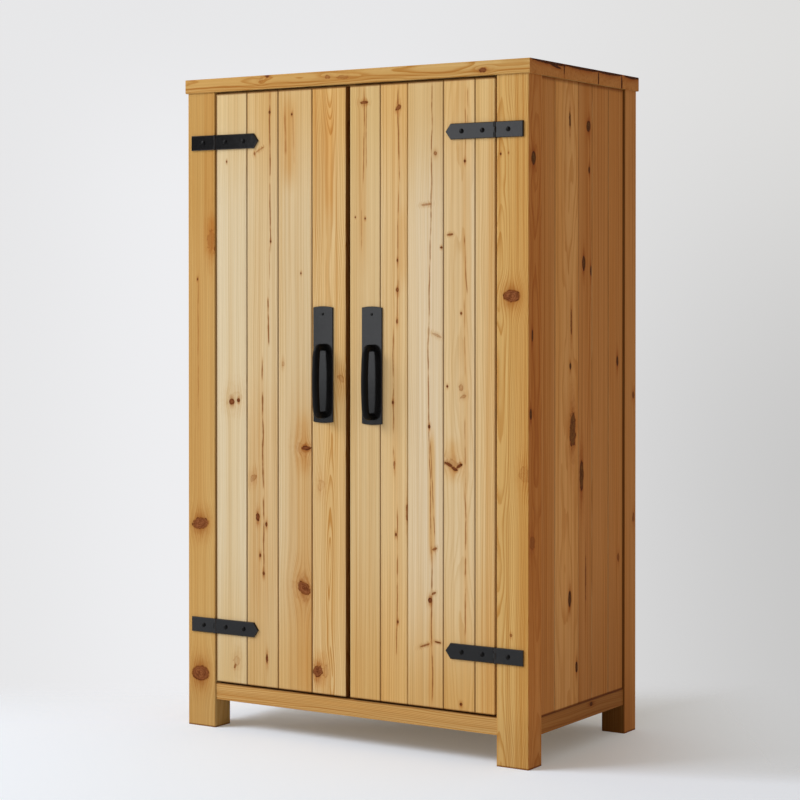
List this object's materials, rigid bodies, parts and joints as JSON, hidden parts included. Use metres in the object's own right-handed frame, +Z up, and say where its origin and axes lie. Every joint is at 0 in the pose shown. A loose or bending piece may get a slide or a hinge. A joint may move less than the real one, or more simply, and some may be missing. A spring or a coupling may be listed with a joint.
{
  "type": "armoire",
  "caption": "Free-standing knotty pine armoire with hinged boarded doors on black strap hinges, long pull handles, a hat shelf and a hanging rail.",
  "frame": {"origin": "on the floor, at the centre of the footprint of the whole piece with its handles", "axes": "+Z up, +X to the right as one faces the doors, +Y from the doors to the back"},
  "size_m": [1.1, 0.6565, 1.8],
  "materials": {
    "frame_pine": "honey-waxed knotty pine",
    "door_pine": "pale waxed knotty pine boards",
    "side_pine": "honey-waxed knotty pine boards",
    "inner_pine": "lightly waxed pine",
    "turned_pine": "turned and sanded pine",
    "black_iron": "satin black forged iron",
    "bright_steel": "zinc-plated steel",
    "catch_housing": "matt brown plastic"
  },
  "bodies": {
    "carcase": {"back_boards": "inner_pine", "catch_magnets": "catch_housing", "floor_boards": "inner_pine", "front_bottom_rail": "frame_pine", "front_left_post": "frame_pine", "front_right_post": "frame_pine", "front_top_rail": "frame_pine", "hanging_rail": "turned_pine", "hinge_pins": "bright_steel", "left_bottom_rail": "frame_pine", "left_post_leaves": "black_iron", "left_side_board_1": "side_pine", "left_side_board_2": "side_pine", "left_side_board_3": "side_pine", "left_side_board_4": "side_pine", "left_side_board_5": "side_pine", "left_top_rail": "frame_pine", "post_leaf_bolts": "black_iron", "rail_sockets": "black_iron", "rear_bottom_rail": "frame_pine", "rear_left_post": "frame_pine", "rear_right_post": "frame_pine", "rear_top_rail": "frame_pine", "right_bottom_rail": "frame_pine", "right_post_leaves": "black_iron", "right_side_board_1": "side_pine", "right_side_board_2": "side_pine", "right_side_board_3": "side_pine", "right_side_board_4": "side_pine", "right_side_board_5": "side_pine", "right_top_rail": "frame_pine", "shelf": "inner_pine", "shelf_cleats": "inner_pine", "top_boards": "frame_pine", "top_dowels": "inner_pine"},
    "left_door": {"left_door_board_1": "door_pine", "left_door_board_2": "door_pine", "left_door_board_3": "door_pine", "left_door_board_4": "door_pine", "left_door_ledges": "inner_pine", "left_handle_grip": "black_iron", "left_handle_plate": "black_iron", "left_handle_screws": "black_iron", "left_lower_strap": "black_iron", "left_strap_bolts": "black_iron", "left_strike_plate": "bright_steel", "left_upper_strap": "black_iron"},
    "right_door": {"right_door_board_1": "door_pine", "right_door_board_2": "door_pine", "right_door_board_3": "door_pine", "right_door_board_4": "door_pine", "right_door_board_5": "door_pine", "right_door_ledges": "inner_pine", "right_handle_grip": "black_iron", "right_handle_plate": "black_iron", "right_handle_screws": "black_iron", "right_lower_strap": "black_iron", "right_strap_bolts": "black_iron", "right_strike_plate": "bright_steel", "right_upper_strap": "black_iron"}
  },
  "joints": [
    {"name": "left_door_hinge", "type": "hinge", "parent": "carcase", "child": "left_door", "pos_m": [-0.4485, -0.28315, 0.283], "axis": [0, 0, -1], "range_deg": [0, 110]},
    {"name": "right_door_hinge", "type": "hinge", "parent": "carcase", "child": "right_door", "pos_m": [0.4485, -0.28315, 0.283], "axis": [0, 0, 1], "range_deg": [0, 110]}
  ]
}
